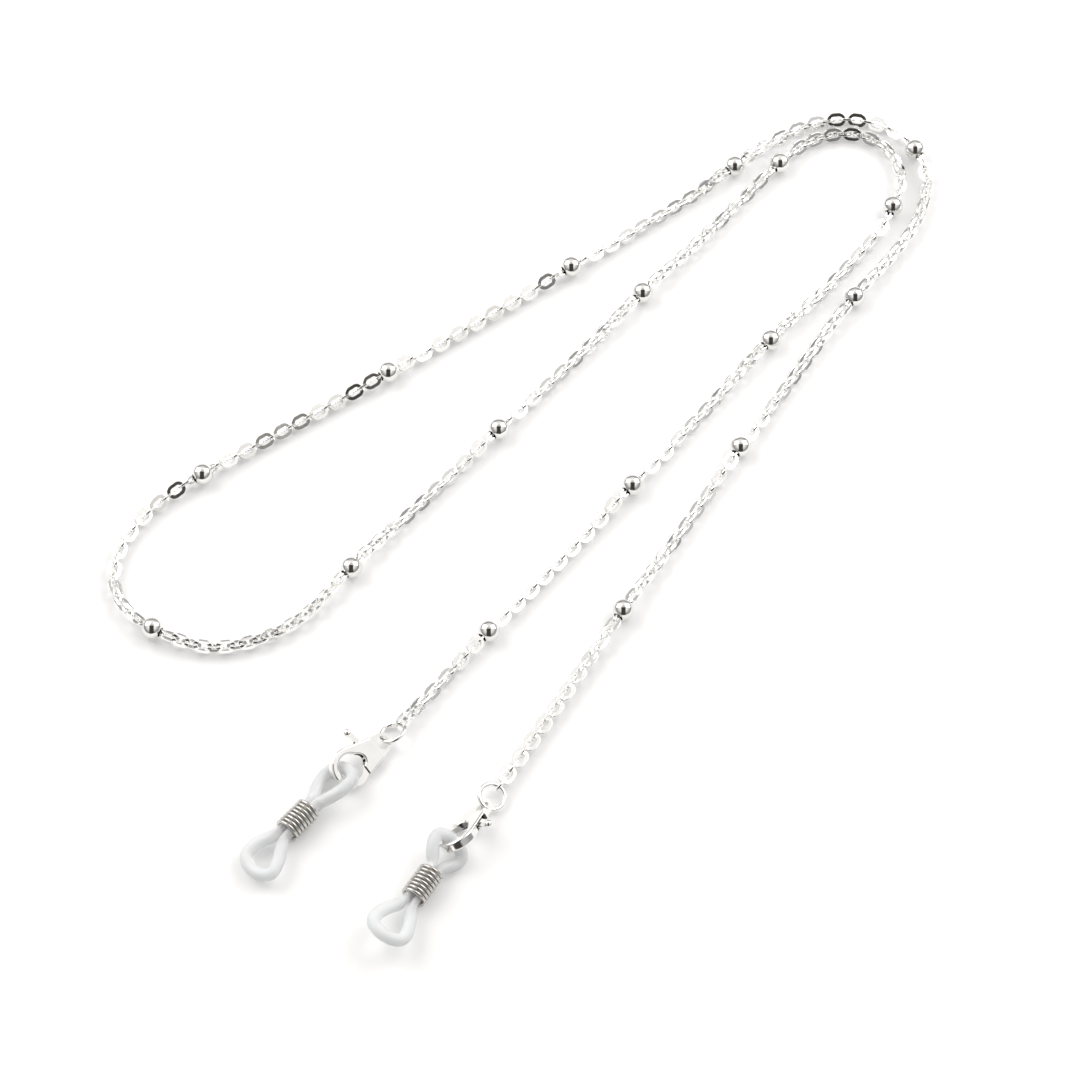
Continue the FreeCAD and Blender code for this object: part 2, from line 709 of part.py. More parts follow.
def make_lever(label):
    """The gate, its pivot boss and the thumb tab, all one flat piece with a round knob."""
    thick = "$lever_thickness"
    outer = cylinder(label + "_rim", "$hook_diameter / 2 - $gate_inset", thick, "$clasp_reach", "$hook_offset")
    inner = cylinder(label + "_rim_hole", "$hook_diameter / 2 - $arm_width", "2 * " + thick,
                     "$clasp_reach", "$hook_offset")
    ring = combine("Part::Cut", label + "_ring", outer, inner)
    swing = cylinder(label + "_swing", "$gate_length - $lever_gap", thick, "$pivot_reach", "-$pivot_offset")
    arc = combine("Part::Common", label + "_arc", ring, swing)
    keep = doc.addObject("Part::Box", label + "_keep")
    bind(keep, "Length", "$clasp_reach")
    bind(keep, "Width", "$hook_diameter")
    bind(keep, "Height", thick)
    bind(keep, "Placement.Base.x", "$pivot_reach")
    bind(keep, "Placement.Base.y", "-$hook_diameter - $gate_top - $lever_gap")
    bind(keep, "Placement.Base.z", "-$lever_thickness / 2")
    gate = combine("Part::Common", label + "_gate", arc, keep)
    boss = cylinder(label + "_boss", "$pivot_boss / 2", thick, "$pivot_reach", "-$pivot_offset")
    gate_angle = -math.degrees(math.atan2(size("hook_diameter") * 0.3, size("clasp_reach") * 0.42))
    arm = bar(label + "_arm", "$clasp_reach * 0.42", "$arm_bar", gate_angle)
    finger = bar(label + "_finger", "$tab_reach", "$tab_width", 90 - size("tab_lean"))
    knob = doc.addObject("Part::Sphere", label + "_knob")
    bind(knob, "Radius", "$tab_knob / 2")
    lean = math.radians(size("tab_lean"))
    bind(knob, "Placement.Base.x", "$pivot_reach + %.6f * $tab_reach" % math.sin(lean))
    bind(knob, "Placement.Base.y", "-$pivot_offset + %.6f * $tab_reach" % math.cos(lean))
    whole = doc.addObject("Part::MultiFuse", label + "_whole")
    whole.Shapes = [gate, boss, arm, finger, knob]
    hole = cylinder(label + "_hole", "$pin_diameter / 2 + $pin_gap", "2 * " + thick,
                    "$pivot_reach", "-$pivot_offset")
    return add_node(combine("Part::Cut", label, whole, hole), label)


def make_pin(label):
    pin = doc.addObject("Part::Cylinder", label)
    bind(pin, "Radius", "$pin_diameter / 2")
    bind(pin, "Height", "$clasp_thickness")
    pin.Placement.Base = V(size("pivot_reach"), -size("pivot_offset"), -size("clasp_thickness") / 2)
    return add_node(pin, label)


def helix_path(radius, pitch, turns, start_x):
    """Quarter turns of a helix about the X axis, as tangent arcs, from start_x on."""
    points = []
    headings = []
    for quarter in range(int(turns * 4) + 1):
        angle = quarter * math.pi / 2
        points.append(V(start_x + pitch * quarter / 4, radius * math.cos(angle), radius * math.sin(angle)))
        headings.append(unit(V(pitch / (2 * math.pi * radius), -math.sin(angle), math.cos(angle))))
    edges = []
    for place in range(len(points) - 1):
        edges += biarc(points[place], headings[place], points[place + 1], headings[place + 1])
    return edges, points, headings


def least_turn_gap(points, wire, share=4):
    """Least clear gap between one turn and the next, measured on points of the centre line."""
    least = 1e9
    for place in range(len(points) - share):
        for other in range(place + share, len(points)):
            least = min(least, points[place].distanceToPoint(points[other]) - wire)
    return least


def make_lever_spring(label):
    """The small closing spring between the end of the slot and the thumb tab."""
    wire = size("spring_wire")
    radius = (size("spring_diameter") - wire) / 2
    lean = math.radians(size("tab_lean"))
    height = size("spring_offset") + size("pivot_offset")
    tab_face = size("pivot_reach") + height * math.tan(lean) - size("tab_width") / 2 / math.cos(lean)
    span = tab_face - size("slot_start") - wire - 2 * size("running_gap")
    start = size("slot_start") + wire / 2 + size("running_gap")
    edges, points, headings = helix_path(radius, span / size("spring_turns"), size("spring_turns"), start)
    shape = pipe(edges, points[0], headings[0], wire / 2)
    shape.translate(V(0, size("spring_offset"), 0))
    return add_feature(label, shape)


# Silicone loop and coil sleeve

COIL_LENGTH = size("coil_pitch") * size("coil_turns")
COIL_RADIUS = (size("coil_diameter") - size("coil_wire")) / 2
WAIST_RADIUS = COIL_RADIUS - size("coil_wire") / 2 - size("coil_gap")
CORD_RADIUS = size("cord_diameter") / 2
LEG_OFFSET = WAIST_RADIUS - CORD_RADIUS - 0.03
# How far the squeezed waist of the cord reaches past each end of the coil
WAIST_PAST_COIL = 1.0
# The two legs run straight, side by side, as far as the coil can slide.
STRAIGHT_HALF = COIL_LENGTH / 2 + size("coil_wire") / 2 + size("coil_travel") + size("running_gap")


class LoopFrame:
    """Where a loop lies: its coil's centre and axis, the roll of each end and how each end rises."""

    def __init__(self, centre, axis, rolls, upper, lower, lifts, bend):
        self.centre = centre
        self.axis = axis
        self.level = unit(V(0, 0, 1).cross(axis))
        if self.level.y < 0:
            self.level = -self.level
        self.rolls = rolls
        self.upper = upper
        self.lower = lower
        self.lifts = lifts
        self.bend = bend

    def point(self, along, across):
        """along is measured from the coil's centre, negative towards the clasp."""
        roll = math.radians(self.rolls[0] if along < 0 else self.rolls[1])
        away = max(0.0, abs(along) - STRAIGHT_HALF)
        reach = self.upper if along < 0 else self.lower
        lift = (self.lifts[0] if along < 0 else self.lifts[1]) * (away / reach) ** 1.5
        sideways = self.bend * (away / reach) ** 2 if along > 0 else 0.0
        across_vector = self.level * math.cos(roll) + V(0, 0, math.sin(roll))
        return (self.centre + self.axis * along + across_vector * across
                + V(0, 0, lift) + self.level * sideways)


# The shape of a loop's half, from the coil to its far end: share of its length, share of its width
LOOP_SHAPE = [(0.16, 0.26), (0.38, 0.72), (0.64, 1.0), (0.88, 0.86)]


def loop_half(frame, direction, reach, width, side):
    """Half of one loop's cord, from inside the waist to the middle of its far end."""
    leg = side * LEG_OFFSET
    inside = STRAIGHT_HALF - CORD_RADIUS
    points = [frame.point(direction * inside, leg), frame.point(direction * STRAIGHT_HALF, leg)]
    for along, out in LOOP_SHAPE:
        across = side * (LEG_OFFSET + (width / 2 - LEG_OFFSET) * out)
        points.append(frame.point(direction * (STRAIGHT_HALF + reach * along), across))
    far = direction * (STRAIGHT_HALF + reach)
    points.append(frame.point(far, 0.0))
    end_heading = frame.point(far, -side) - frame.point(far, side)
    edges, headings = smooth_path(points, frame.axis * direction, end_heading)
    return pipe(edges, points[0], headings[0], CORD_RADIUS)


def make_silicone_loop(label, frame):
    pieces = []
    for side in (1, -1):
        pieces.append(loop_half(frame, -1, frame.upper, size("upper_loop_width"), side))
        pieces.append(loop_half(frame, 1, frame.lower, size("lower_loop_width"), side))
    length = COIL_LENGTH + 2 * WAIST_PAST_COIL
    waist = Part.makeCylinder(WAIST_RADIUS, length, frame.centre - frame.axis * (length / 2), frame.axis)
    return add_feature(label, waist.fuse(pieces).removeSplitter())


def make_coil(label, frame):
    edges, points, headings = helix_path(COIL_RADIUS, size("coil_pitch"), size("coil_turns"),
                                         -COIL_LENGTH / 2)
    gap = least_turn_gap(points, size("coil_wire"))
    print("%s: %d turns, least gap to itself %.3f mm" % (label, size("coil_turns"), gap))
    tail = size("coil_wire")
    start = points[0] - headings[0] * tail
    finish = points[-1] + headings[-1] * tail
    edges = ([Part.LineSegment(start, points[0]).toShape()] + edges
             + [Part.LineSegment(points[-1], finish).toShape()])
    placement = plane_placement(frame.centre, frame.axis, 0)
    return add_feature(label, pipe(edges, start, headings[0], size("coil_wire") / 2), placement)


def direction_of(yaw, pitch):
    turn = math.radians(yaw)
    rise = math.radians(pitch)
    return V(math.cos(turn) * math.cos(rise), math.sin(turn) * math.cos(rise), math.sin(rise))


def place(obj, placement):
    obj.Placement = placement.multiply(obj.Placement)


joints = []


def note_joint(name, point, axis):
    joints.append((name, V(point), unit(axis)))


def same_way(axis, guide):
    """The axis, turned about where needed so that it points with the guide."""
    return axis if axis.dot(guide) > 0 else axis * -1


def make_end(word, last_number, sign, turn):
    """Jump ring, lobster clasp, silicone loop and coil sleeve of one end."""
    frame_of_link = ring_placement(last_number)
    outward = frame_of_link.Rotation.multVec(V(1, 0, 0)) * sign
    wire = size("ring_wire") / 2
    gap = size("running_gap")
    contact = frame_of_link.Base + outward * (LINK_HOLE_HALF - wire - gap)
    ring_way = direction_of(turn["ring_yaw"], 0)
    ring_centre = contact + ring_way * RING_RADIUS
    ring = doc.addObject("Part::Torus", "jump_ring_%s_round" % word)
    bind(ring, "Radius1", "$ring_diameter / 2 - $ring_wire / 2")
    bind(ring, "Radius2", "$ring_wire / 2")
    seam = doc.addObject("Part::Box", "jump_ring_%s_seam" % word)
    bind(seam, "Length", "$ring_seam")
    bind(seam, "Width", "$ring_diameter")
    bind(seam, "Height", "$ring_diameter")
    bind(seam, "Placement.Base.z", "-$ring_diameter / 2")
    cut_ring = combine("Part::Cut", "jump_ring_" + word, ring, seam)
    cut_ring.Placement = plane_placement(ring_centre, ring_way, turn["ring_roll"])
    ring_tangent = cut_ring.Placement.Rotation.multVec(V(0, 1, 0))
    add_node(cut_ring, "jump_ring_" + word)
    eye_centre = ring_centre + ring_way * (RING_RADIUS + size("eye_hole") / 2 - wire - size("eye_clearance"))
    clasp_way = direction_of(turn["clasp_yaw"], turn["clasp_pitch"])
    clasp_place = plane_placement(eye_centre, clasp_way, turn["clasp_roll"])
    for obj in (make_clasp_body("clasp_body_" + word), make_lever("clasp_lever_" + word),
                make_pin("clasp_pin_" + word), make_lever_spring("clasp_spring_" + word)):
        place(obj, clasp_place)
    crossing = V(size("clasp_reach") + size("hook_diameter") / 2 - size("arm_width") - CORD_RADIUS
                 - turn["cord_seat"], turn["cord_side"], 0)
    apex = clasp_place.multVec(crossing)
    axis = direction_of(turn["coil_yaw"], 0)
    past_straight = COIL_LENGTH / 2 - STRAIGHT_HALF
    upper = size("cord_%s_upper" % word) + past_straight
    lower = size("cord_%s_lower" % word) + past_straight
    centre = apex + axis * (upper + STRAIGHT_HALF)
    coil_level = size("coil_diameter") / 2
    lift = apex.z - coil_level
    centre.z = coil_level
    frame = LoopFrame(centre, axis, turn["loop_rolls"], upper, lower,
                      (lift, turn["lower_lift"]), turn["lower_bend"])
    make_silicone_loop("silicone_loop_" + word, frame)
    make_coil("coil_sleeve_" + word, frame)
    lifting = outward.cross(V(0, 0, 1))
    note_joint("ring_%s_swing" % word, contact, lifting)
    eye_contact = ring_centre + ring_way * RING_RADIUS
    note_joint("clasp_%s_swing" % word, eye_contact, same_way(ring_tangent, lifting))
    pivot = clasp_place.multVec(V(size("pivot_reach"), -size("pivot_offset"), 0))
    note_joint("lever_%s_press" % word, pivot, clasp_place.Rotation.multVec(V(0, 0, 1)))
    note_joint("loop_%s_swing" % word, apex, same_way(frame.point(-1e3, 1) - frame.point(-1e3, 0), lifting))
    note_joint("coil_%s_slide" % word, centre, axis)


END_ONE = {"ring_yaw": 181, "ring_roll": 209, "clasp_yaw": 178, "clasp_pitch": 6.0, "clasp_roll": 150,
           "cord_seat": 0.9, "cord_side": 0.35, "coil_yaw": 181.5, "loop_rolls": (-28, -8),
           "lower_lift": -0.45, "lower_bend": -1.0}
END_TWO = {"ring_yaw": 190, "ring_roll": 160, "clasp_yaw": 185, "clasp_pitch": 10.4, "clasp_roll": 43,
           "cord_seat": 0.35, "cord_side": 0.1, "coil_yaw": 189, "loop_rolls": (35, 12),
           "lower_lift": 3.0, "lower_bend": -0.6}

make_end("one", 0, -1, END_ONE)
make_end("two", len(elements) - 1, 1, END_TWO)
doc.recompute()

# The hinge between two runs lies across the chain, level, where two links meet
for number, place_of_hinge in enumerate(hinge_numbers, start=1):
    heading = ring_placement(place_of_hinge).Rotation.multVec(V(1, 0, 0))
    note_joint("chain_bend_%02d" % number, contact_after(place_of_hinge), heading.cross(V(0, 0, 1)))


def check_objects():
    for obj in doc.Objects:
        if "Invalid" in obj.State or "Error" in obj.State:
            raise RuntimeError("%s failed: %s" % (obj.Name, obj.State))
    for node in nodes:
        if node.Shape.isNull() or not node.Shape.isValid():
            raise RuntimeError("%s has no valid shape" % node.Label)


def reaches_limit(box, whole):
    """Whether a box comes near any side of the whole strap's box except its top."""
    near = 1.0
    low = 0.3
    return (box.XMin < whole.XMin + near or box.XMax > whole.XMax - near
            or box.YMin < whole.YMin + near or box.YMax > whole.YMax - near
            or box.ZMin < whole.ZMin + low and box.ZMax > 1.5 * size("bead_diameter"))


def centre_on_origin():
    """Move every node alike, so that the box of the whole strap is centred on the origin."""
    rough = FreeCAD.BoundBox()
    for node in nodes:
        rough.add(node.Shape.BoundBox)
    box = FreeCAD.BoundBox()
    for node in nodes:
        if reaches_limit(node.Shape.BoundBox, rough):
            box.add(node.Shape.optimalBoundingBox(False))
    shift = V(-box.Center.x, -box.Center.y, -box.ZMin)
    for node in nodes:
        node.Placement = FreeCAD.Placement(shift, FreeCAD.Rotation()).multiply(node.Placement)
    doc.recompute()
    print("box %.2f %.2f %.2f" % (box.XLength, box.YLength, box.ZLength))
    return shift


def print_joints(shift):
    for name, point, axis in joints:
        at = point + shift
        print("joint %s %.4f %.4f %.4f %.5f %.5f %.5f" % (name, at.x, at.y, at.z, axis.x, axis.y, axis.z))


doc.recompute()
frame_shift = centre_on_origin()
check_objects()
print("shift %.4f %.4f %.4f" % (frame_shift.x, frame_shift.y, frame_shift.z))
print_joints(frame_shift)
os.makedirs("parts", exist_ok=True)
for node in nodes:
    node.Shape.exportStep("parts/%s.step" % node.Label)
print("%d nodes written" % len(nodes))
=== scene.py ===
import json
import math

import bmesh
import bpy
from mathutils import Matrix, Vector


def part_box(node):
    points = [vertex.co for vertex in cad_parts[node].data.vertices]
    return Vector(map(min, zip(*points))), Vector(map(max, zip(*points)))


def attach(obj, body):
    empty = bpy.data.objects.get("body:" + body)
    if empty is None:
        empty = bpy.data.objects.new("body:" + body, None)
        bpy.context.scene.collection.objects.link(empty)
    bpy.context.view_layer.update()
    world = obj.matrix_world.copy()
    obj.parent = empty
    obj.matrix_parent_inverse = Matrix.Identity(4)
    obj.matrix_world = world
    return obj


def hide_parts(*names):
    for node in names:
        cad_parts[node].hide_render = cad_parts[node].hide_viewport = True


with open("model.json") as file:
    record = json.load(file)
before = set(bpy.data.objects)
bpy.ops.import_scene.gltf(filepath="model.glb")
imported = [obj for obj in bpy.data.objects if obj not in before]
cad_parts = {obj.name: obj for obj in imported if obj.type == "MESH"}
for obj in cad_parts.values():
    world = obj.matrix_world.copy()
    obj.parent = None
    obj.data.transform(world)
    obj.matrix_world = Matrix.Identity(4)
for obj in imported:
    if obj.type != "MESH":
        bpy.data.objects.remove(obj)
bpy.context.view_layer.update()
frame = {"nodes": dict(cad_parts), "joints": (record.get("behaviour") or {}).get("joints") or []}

# Beaded chain strap for eyeglasses: looks. Everything is in metres, in the frame of the solids.
MM = 0.001
UP = Vector((0, 0, 1))

# Camera, at the photograph's viewing angle
CAMERA_TARGET = Vector((-16.29, -9.76, 0.0)) * MM
CAMERA_OFFSET = Vector((-250.40, -225.46, 549.85)) * MM
CAMERA_LENS = 115.97
CAMERA_SENSOR = 36.0
CAMERA_NEAR = 0.01
CAMERA_FAR = 20

# Studio, laid out about the camera's own right and forward directions
STUDIO_RIGHT = Vector((0.669, -0.743, 0.0))
STUDIO_FORWARD = Vector((0.743, 0.669, 0.0))
FLOOR_HALF = 0.45
FLOOR_LEVEL = -0.02 * MM
FLOOR_COLOR = (0.86, 0.86, 0.86, 1)
FLOOR_GLOW = 0.14
LAMP_POWER = 3.0
LAMP_SIZE = (0.55, 0.7)
LAMP_PLACES = {
    "lamp_left": (-0.52, 0.30, 0.50),
    "lamp_right": (0.52, 0.30, 0.50),
}
ROOM_STRENGTH = 1.12
# Tones of the room by how far up one looks: 0 is level or lower, 1 is straight up
ROOM_TONES = [
    (0.0, (0.30, 0.30, 0.31)), (0.22, (0.30, 0.30, 0.305)), (0.5, (0.62, 0.61, 0.60)),
    (0.72, (0.92, 0.91, 0.90)), (0.9, (0.92, 0.90, 0.87)), (1.0, (0.58, 0.53, 0.47)),
]
# The dark gap in the room's light, on the camera's side: its colour, where it fades out to the left and
# right, and where it fades out away from the camera
GAP_COLOR = (0.05, 0.047, 0.043, 1)
GAP_SIDE_FADE = (0.46, 0.32)
GAP_FRONT_FADE = (0.0, -0.12)

# Silicone cord and coil sleeve
CORD_RADIUS = 1.15 * MM
LEG_OFFSET = 0.84 * MM
# How far past each end of the coil the cord stays squeezed, so that the coil can slide
SQUEEZE_PAST_COIL = 1.1 * MM
LEG_HALF_WIDE = 0.80 * MM
LEG_HALF_HIGH = 1.26 * MM
COIL_RADIUS_OUTER = 2.35 * MM
COIL_WIRE = 0.64 * MM
COIL_PITCH = 0.76 * MM
COIL_TURNS = 8
COIL_LENGTH = COIL_PITCH * COIL_TURNS
# How far from the coil's middle the legs start to part. Past the coil's end that leaves room for half
# the wire of the solid coil, for its travel and for a small gap
STRAIGHT_HALF = COIL_LENGTH / 2 + 1.23 * MM
# Over how much of its length the cord goes from squeezed to round
ROUNDING_LENGTH = 1.4 * MM
UPPER_LOOP_WIDTH = 6.2 * MM
LOWER_LOOP_WIDTH = 6.3 * MM
# A loop's half from the coil to its tip: share of its length, share of its width
LOOP_SHAPE = [(0.16, 0.26), (0.38, 0.72), (0.64, 1.0), (0.88, 0.86)]
# Each loop: lengths past the coil, rolls of its ends in degrees, rise and sideways bend of its lower tip
LOOPS = {
    "one": {"upper": 10.2, "lower": 9.2, "rolls": (-28, -8), "lift": -0.45, "bend": -1.0},
    "two": {"upper": 6.9, "lower": 9.6, "rolls": (35, 12), "lift": 3.0, "bend": -0.6},
}

# How finely the cord and the coil are meshed
CORD_STEPS = 10
CORD_AROUND = 28
CORD_EASE = 4
COIL_STEPS = 44
COIL_AROUND = 14
WIRE_END_STEPS = 2
WIRE_END_SHARE = 0.93

# Grain of the materials, in waves per metre, and the height of their finest relief
TONE_GRAIN = 260
HAZE_GRAIN = 1400
RELIEF = 0.02 * MM
# The values of a noise texture that stand for the two ends of a tone or of a roughness
NOISE_LOW = 0.3
NOISE_HIGH = 0.7


# Node helpers

def new_material(name):
    material = bpy.data.materials.new(name)
    material.use_nodes = True
    nodes = material.node_tree.nodes
    shader = nodes["Principled BSDF"]
    return material, nodes, material.node_tree.links, shader


def noise(nodes, links, vector, scale, detail=3.0, roughness=0.5):
    node = nodes.new("ShaderNodeTexNoise")
    node.inputs["Scale"].default_value = scale
    node.inputs["Detail"].default_value = detail
    node.inputs["Roughness"].default_value = roughness
    links.new(vector, node.inputs["Vector"])
    return node.outputs["Fac"]


def ramp(nodes, links, fac, stops):
    node = nodes.new("ShaderNodeValToRGB")
    elements = node.color_ramp.elements
    while len(elements) < len(stops):
        elements.new(0.5)
    for element, (position, color) in zip(elements, stops):
        element.position = position
        element.color = (*color, 1.0)
    links.new(fac, node.inputs["Fac"])
    return node.outputs["Color"]


def to_range(nodes, links, value, low, high):
    node = nodes.new("ShaderNodeMapRange")
    node.inputs["From Min"].default_value = NOISE_LOW
    node.inputs["From Max"].default_value = NOISE_HIGH
    node.inputs["To Min"].default_value = low
    node.inputs["To Max"].default_value = high
    links.new(value, node.inputs["Value"])
    return node.outputs["Result"]


def bump(nodes, links, height, strength, distance):
    node = nodes.new("ShaderNodeBump")
    node.inputs["Strength"].default_value = strength
    node.inputs["Distance"].default_value = distance
    links.new(height, node.inputs["Height"])
    return node.outputs["Normal"]


def object_place(nodes):
    return nodes.new("ShaderNodeTexCoord").outputs["Object"]


def stretched_place(nodes, links, place, scale):
    node = nodes.new("ShaderNodeMapping")
    node.inputs["Scale"].default_value = scale
    links.new(place, node.inputs["Vector"])
    return node.outputs["Vector"]


# Materials

def polished_metal(name, light, dark, rough_low, rough_high, grain):
    """Plated, polished metal: slight changes of tone and gloss, and the ripple left by polishing."""
    material, nodes, links, shader = new_material(name)
    place = object_place(nodes)
    tone = noise(nodes, links, place, TONE_GRAIN, 4)
    stops = [(NOISE_LOW, dark), (NOISE_HIGH, light)]
    links.new(ramp(nodes, links, tone, stops), shader.inputs["Base Color"])
    haze = noise(nodes, links, place, HAZE_GRAIN, 5, 0.6)
    links.new(to_range(nodes, links, haze, rough_low, rough_high), shader.inputs["Roughness"])
    ripple = noise(nodes, links, place, grain, 3)
    links.new(bump(nodes, links, ripple, 0.12, RELIEF), shader.inputs["Normal"])
    shader.inputs["Metallic"].default_value = 1.0
    return material


def drawn_wire(name):
    """Nickel-plated spring wire: darker, with fine drawing lines and dull stains."""
    material, nodes, links, shader = new_material(name)
    place = object_place(nodes)
    tone = noise(nodes, links, place, 900, 4)
    stops = [(NOISE_LOW, (0.50, 0.48, 0.45)), (NOISE_HIGH, (0.68, 0.66, 0.63))]
    links.new(ramp(nodes, links, tone, stops), shader.inputs["Base Color"])
    haze = noise(nodes, links, place, 2600, 5, 0.6)
    links.new(to_range(nodes, links, haze, 0.16, 0.30), shader.inputs["Roughness"])
    lines = noise(nodes, links, stretched_place(nodes, links, place, (1, 1, 6)), 3000, 3)
    links.new(bump(nodes, links, lines, 0.2, RELIEF), shader.inputs["Normal"])
    shader.inputs["Metallic"].default_value = 1.0
    return material


def clear_silicone(name):
    """Milky clear silicone: cloudy inside, satin outside."""
    material, nodes, links, shader = new_material(name)
    place = object_place(nodes)
    cloud = noise(nodes, links, place, 320, 3)
    stops = [(0.2, (0.955, 0.975, 0.985)), (0.8, (0.985, 0.99, 0.995))]
    links.new(ramp(nodes, links, cloud, stops), shader.inputs["Base Color"])
    haze = noise(nodes, links, place, 250, 2)
    links.new(to_range(nodes, links, haze, 0.36, 0.42), shader.inputs["Roughness"])
    shader.inputs["Transmission Weight"].default_value = 0.42
    shader.inputs["IOR"].default_value = 1.41
    shader.inputs["Subsurface Weight"].default_value = 0.4
    shader.inputs["Subsurface Scale"].default_value = 0.8 * MM
    shader.inputs["Subsurface Radius"].default_value = (0.8, 0.9, 1.0)
    return material


silver_links = polished_metal("silver_links", (0.97, 0.965, 0.95), (0.90, 0.895, 0.88), 0.05, 0.12, 1800)
silver_beads = polished_metal("silver_beads", (0.86, 0.85, 0.83), (0.80, 0.79, 0.765), 0.03, 0.08, 700)
steel_findings = polished_metal("steel_findings", (0.94, 0.93, 0.91), (0.86, 0.85, 0.83), 0.05, 0.13, 900)
nickel_wire = drawn_wire("nickel_wire")
silicone = clear_silicone("silicone_clear")

MATERIAL_OF = {
    "chain_run": silver_links,
    "bead": silver_beads,
    "jump_ring": steel_findings,
    "clasp_body": steel_findings,
    "clasp_lever": steel_findings,
    "clasp_pin": steel_findings,
    "clasp_spring": nickel_wire,
    "silicone_loop": silicone,
    "coil_sleeve": nickel_wire,
}

for name, node in frame["nodes"].items():
    for start, material in MATERIAL_OF.items():
        if name.startswith(start):
            node.data.materials.clear()
            node.data.materials.append(material)
            for polygon in node.data.polygons:
                polygon.use_smooth = True


# Mesh helpers

def make_piece(name, verts, faces, material, body, nodes):
    mesh = bpy.data.meshes.new(name)
    mesh.from_pydata([tuple(v) for v in verts], [], faces)
    mesh.update()
    work = bmesh.new()
    work.from_mesh(mesh)
    bmesh.ops.recalc_face_normals(work, faces=work.faces)
    work.to_mesh(mesh)
    work.free()
    for polygon in mesh.polygons:
        polygon.use_smooth = True
    mesh.materials.append(material)
    piece = bpy.data.objects.new(name, mesh)
    bpy.context.scene.collection.objects.link(piece)
    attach(piece, body)
    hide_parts(*nodes)


def tube(rings, closed):
    """Vertices and faces of a tube from a row of rings, joined end to end or capped."""
    around = len(rings[0])
    verts = [point for ring in rings for point in ring]
    faces = []
    count = len(rings)
    for step in range(count if closed else count - 1):
        here = step * around
        there = ((step + 1) % count) * around
        for side in range(around):
            other = (side + 1) % around
            faces.append((here + side, here + other, there + other, there + side))
    if not closed:
        faces.append(tuple(range(around)))
        faces.append(tuple(range((count - 1) * around, count * around)))
    return verts, faces


def ellipse(centre, first, second, around):
    """A ring of points about the centre, with the two given half axes."""
    ring = []
    for turn in range(around):
        angle = 2 * math.pi * turn / around
        ring.append(centre + first * math.cos(angle) + second * math.sin(angle))
    return ring


def spline_point(points, place):
    """A point of the closed Catmull-Rom spline through the points."""
    count = len(points)
    index = int(math.floor(place))
    t = place - index
    p0, p1, p2, p3 = (points[(index + shift) % count] for shift in (-1, 0, 1, 2))
    return 0.5 * (2 * p1 + (p2 - p0) * t + (2 * p0 - 5 * p1 + 4 * p2 - p3) * t ** 2
                  + (3 * p1 - p0 - 3 * p2 + p3) * t ** 3)


def smooth_step(value):
    value = min(max(value, 0.0), 1.0)
    return value * value * (3 - 2 * value)


def joint_named(name):
    for joint in frame["joints"]:
        if joint["name"] == name:
            return joint
    raise ValueError(name)


# Silicone loops

class LoopFrame:
    """Where a loop lies: its coil's centre and axis, and how each end rolls, rises and bends."""

    def __init__(self, word):
        facts = LOOPS[word]
        self.axis = Vector(joint_named("coil_%s_slide" % word)["axis"]).normalized()
        apex = Vector(joint_named("loop_%s_swing" % word)["pos_m"])
        past_straight = COIL_LENGTH / 2 - STRAIGHT_HALF
        self.upper = facts["upper"] * MM + past_straight
        self.lower = facts["lower"] * MM + past_straight
        low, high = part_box("coil_sleeve_" + word)
        self.centre = apex + self.axis * (self.upper + STRAIGHT_HALF)
        self.centre.z = (low.z + high.z) / 2
        self.lifts = (apex.z - self.centre.z, facts["lift"] * MM)
        self.bend = facts["bend"] * MM
        self.rolls = facts["rolls"]
        self.level = UP.cross(self.axis).normalized()
        if self.level.y < 0:
            self.level = -self.level

    def across(self, along):
        share = smooth_step((along + COIL_LENGTH / 2) / COIL_LENGTH)
        roll = math.radians(self.rolls[0] + (self.rolls[1] - self.rolls[0]) * share)
        return self.level * math.cos(roll) + UP * math.sin(roll)

    def point(self, along, out):
        away = max(0.0, abs(along) - STRAIGHT_HALF)
        upper = along < 0
        reach = self.upper if upper else self.lower
        lift = self.lifts[0 if upper else 1] * (away / reach) ** 1.5
        sideways = 0.0 if upper else self.bend * (away / reach) ** 2
        return (self.centre + self.axis * along + self.across(along) * out
                + UP * lift + self.level * sideways)


def half_line(side, direction, reach, width):
    """One leg from the coil's end towards a tip: how far along and how far out each point is."""
    line = [(COIL_LENGTH / 2, LEG_OFFSET), (STRAIGHT_HALF, LEG_OFFSET)]
    for share, out in LOOP_SHAPE:
        line.append((STRAIGHT_HALF + reach * share, LEG_OFFSET + (width / 2 - LEG_OFFSET) * out))
    return [(direction * along, side * out) for along, out in line]


def loop_points(shape):
    """Points of the cord's closed centre line."""
    lower_tip = (STRAIGHT_HALF + shape.lower, 0.0)
    upper_tip = (-STRAIGHT_HALF - shape.upper, 0.0)
    sides = []
    for side in (1, -1):
        lower = half_line(side, 1, shape.lower, LOWER_LOOP_WIDTH)
        upper = half_line(side, -1, shape.upper, UPPER_LOOP_WIDTH)
        sides.append(lower[::-1] + [(0.0, side * LEG_OFFSET)] + upper)
    line = [lower_tip] + sides[0] + [upper_tip] + sides[1][::-1]
    return [shape.point(along, out) for along, out in line]


def eased(points, reach):
    """Each point of the closed line moved to the mean of its neighbours within reach."""
    count = len(points)
    span = range(-reach, reach + 1)
    return [sum((points[(index + shift) % count] for shift in span), Vector((0, 0, 0))) / len(span)
            for index in range(count)]


